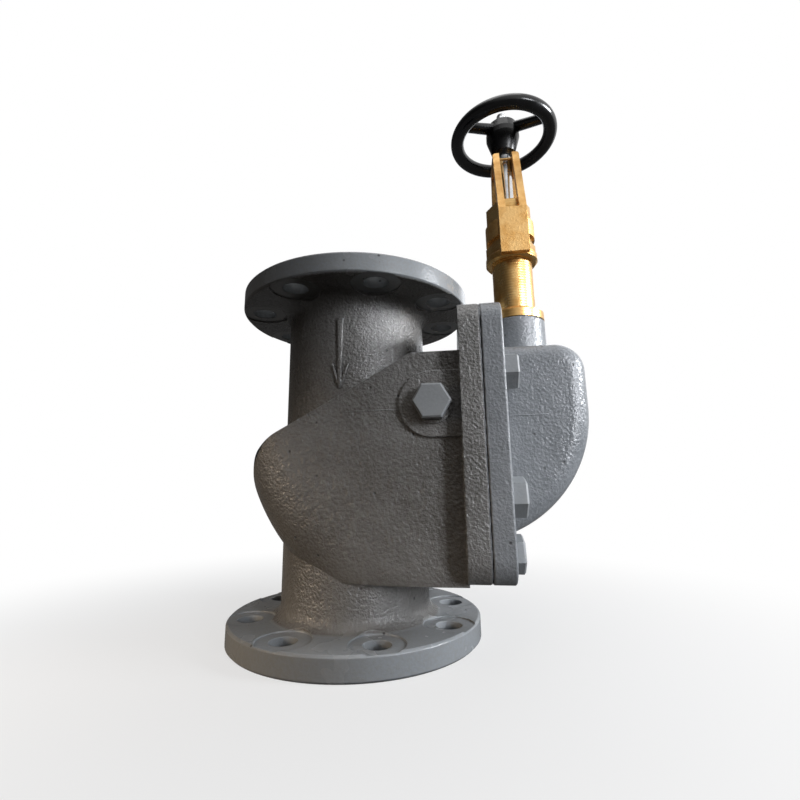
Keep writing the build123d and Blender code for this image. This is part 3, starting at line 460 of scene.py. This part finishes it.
# Thread on the stem's end above the nut: a ridge of 1.25 mm pitch
pitch, steps_per_turn, thread_foot_z = 0.00125, 28, nut_top_z + 0.0003
ridge_out, ridge_in, bare_end = 0.0004, 0.0002, 0.0011
thread = bmesh.new()
turns = (stem_top_z - bare_end - pitch - thread_foot_z) / pitch
thread_steps = int(turns * steps_per_turn)
ridge_profile = ((-ridge_in, 0.0), (ridge_out, pitch / 2), (-ridge_in, pitch))
corners = [thread.verts.new((stem_x + stem_end_r + out, 0, thread_foot_z + up)) for out, up in ridge_profile]
ridge = [thread.edges.new(pair) for pair in zip(corners, corners[1:])]
bmesh.ops.spin(thread, geom=corners + ridge, cent=(stem_x, 0, 0), axis=(0, 0, 1), angle=2 * pi * turns,
               steps=thread_steps, dvec=(0, 0, turns * pitch / thread_steps))
place_piece(thread, "stem_thread", ground_steel, "handwheel")

# Floor: pale to the eye, darker to the light that it would throw back up
floor = bmesh.new()
bmesh.ops.create_circle(floor, cap_ends=True, segments=64, radius=8.0)
floor_mesh = bpy.data.meshes.new("floor")
floor.to_mesh(floor_mesh)
floor.free()
floor_piece = bpy.data.objects.new("floor", floor_mesh)
scene.collection.objects.link(floor_piece)
floor_finish = bpy.data.materials.new("studio_floor")
floor_finish.use_nodes = True
floor_mesh.materials.append(floor_finish)
tree = floor_finish.node_tree
tree.nodes.clear()
place = add_node(tree, "TexCoord").outputs["Object"]
rays = add_node(tree, "LightPath")
far = add_node(tree, "VectorMath", {"operation": "LENGTH"}, s0=place)
fade = add_node(tree, "MapRange", {"interpolation_type": "SMOOTHSTEP"}, Value=far.outputs["Value"],
                From_Min=0.10, From_Max=0.50)
pale = add_node(tree, "BsdfDiffuse", Color=colour("#bcbcbc"))
glow = add_node(tree, "Emission", Color=colour("#ffffff"), Strength=1.0)
lit = add_node(tree, "MixShader", s0=0.66, s1=pale.outputs[0], s2=glow.outputs[0])
seen = add_node(tree, "MixShader", s0=fade.outputs[0], s1=lit.outputs[0], s2=glow.outputs[0])
dim = add_node(tree, "BsdfDiffuse", Color=colour("#221d18"))
looked_at = add_node(tree, "Math", {"operation": "ADD"}, s0=rays.outputs["Is Camera Ray"],
                     s1=rays.outputs["Is Transmission Ray"])
mirrored = add_node(tree, "Math", {"operation": "MULTIPLY_ADD"}, s0=rays.outputs["Is Glossy Ray"], s1=0.12,
                    s2=looked_at.outputs[0])
floor_choice = add_node(tree, "MixShader", s0=mirrored.outputs[0], s1=dim.outputs[0], s2=seen.outputs[0])
add_node(tree, "OutputMaterial", Surface=floor_choice.outputs[0])

# Room: white to the eye; in the metal it is white from the window's side and dim from the other; its
# own light is soft, cool from above, from behind and from the window's side, warm from opposite them
world = bpy.data.worlds.new("studio")
scene.world = world
world.use_nodes = True
tree = world.node_tree
tree.nodes.clear()
rays = add_node(tree, "LightPath")
way = add_node(tree, "TexCoord").outputs["Generated"]
up_and_back = add_node(tree, "VectorMath", {"operation": "DOT_PRODUCT"}, s0=way, s1=(0.40, 0.30, 0.85))
rise = add_node(tree, "MapRange", Value=up_and_back.outputs["Value"], From_Min=-0.3, From_Max=0.9)
walls = add_node(tree, "Mix", {"data_type": "RGBA"}, Factor=rise.outputs[0],
                 s6=colour("#84705a"), s7=colour("#c3c8ce"))
towards_window = add_node(tree, "VectorMath", {"operation": "DOT_PRODUCT"}, s0=way, s1=(0.82, -0.15, 0.55))
bright_side = add_node(tree, "MapRange", {"interpolation_type": "SMOOTHSTEP"},
                       Value=towards_window.outputs["Value"], From_Min=-0.25, From_Max=0.75,
                       To_Min=0.06, To_Max=1.0)
own_light = add_node(tree, "Background", Color=walls.outputs[2], Strength=0.34)
in_metal = add_node(tree, "Background", Color=colour("#ffffff"), Strength=bright_side.outputs[0])
white = add_node(tree, "Background", Color=colour("#ffffff"), Strength=1.0)
looked_at = add_node(tree, "Math", {"operation": "ADD"}, s0=rays.outputs["Is Camera Ray"],
                     s1=rays.outputs["Is Transmission Ray"])
unseen = add_node(tree, "MixShader", s0=rays.outputs["Is Glossy Ray"], s1=own_light.outputs[0],
                  s2=in_metal.outputs[0])
room = add_node(tree, "MixShader", s0=looked_at.outputs[0], s1=unseen.outputs[0], s2=white.outputs[0])
add_node(tree, "OutputWorld", Surface=room.outputs[0])


def soft_box(name, place, aim, width, height, power, tint="#ffffff", fan=180.0):
    """A rectangular lamp turned towards a point, its light fanned out over an angle."""
    data = bpy.data.lights.new(name, "AREA")
    data.shape, data.size, data.size_y, data.energy = "RECTANGLE", width, height, power
    data.color, data.spread = colour(tint)[:3], radians(fan)
    lamp = bpy.data.objects.new(name, data)
    lamp.location = place
    lamp.rotation_euler = (Vector(aim) - Vector(place)).to_track_quat("-Z", "Y").to_euler()
    scene.collection.objects.link(lamp)


middle = (0.05, 0, 0.20)
soft_box("window_lamp", (1.20, -0.12, 0.58), middle, 0.32, 0.26, 15.0, "#f8fbff")
soft_box("side_lamp", (0.72, -0.62, 0.34), (0.23, -0.05, 0.16), 0.30, 0.45, 0.55, "#f6f9ff", fan=36.0)
soft_box("low_lamp", (-0.42, -0.34, 0.16), (-0.06, -0.02, 0.0), 0.20, 0.10, 0.12, "#ffe6c8", fan=50.0)
soft_box("top_lamp", (0.10, -0.20, 1.50), middle, 0.8, 0.8, 3.0)
soft_box("back_lamp", (0.35, 1.3, 0.9), middle, 0.9, 0.7, 3.0, "#f4f8ff")

scene.view_settings.view_transform = "Standard"
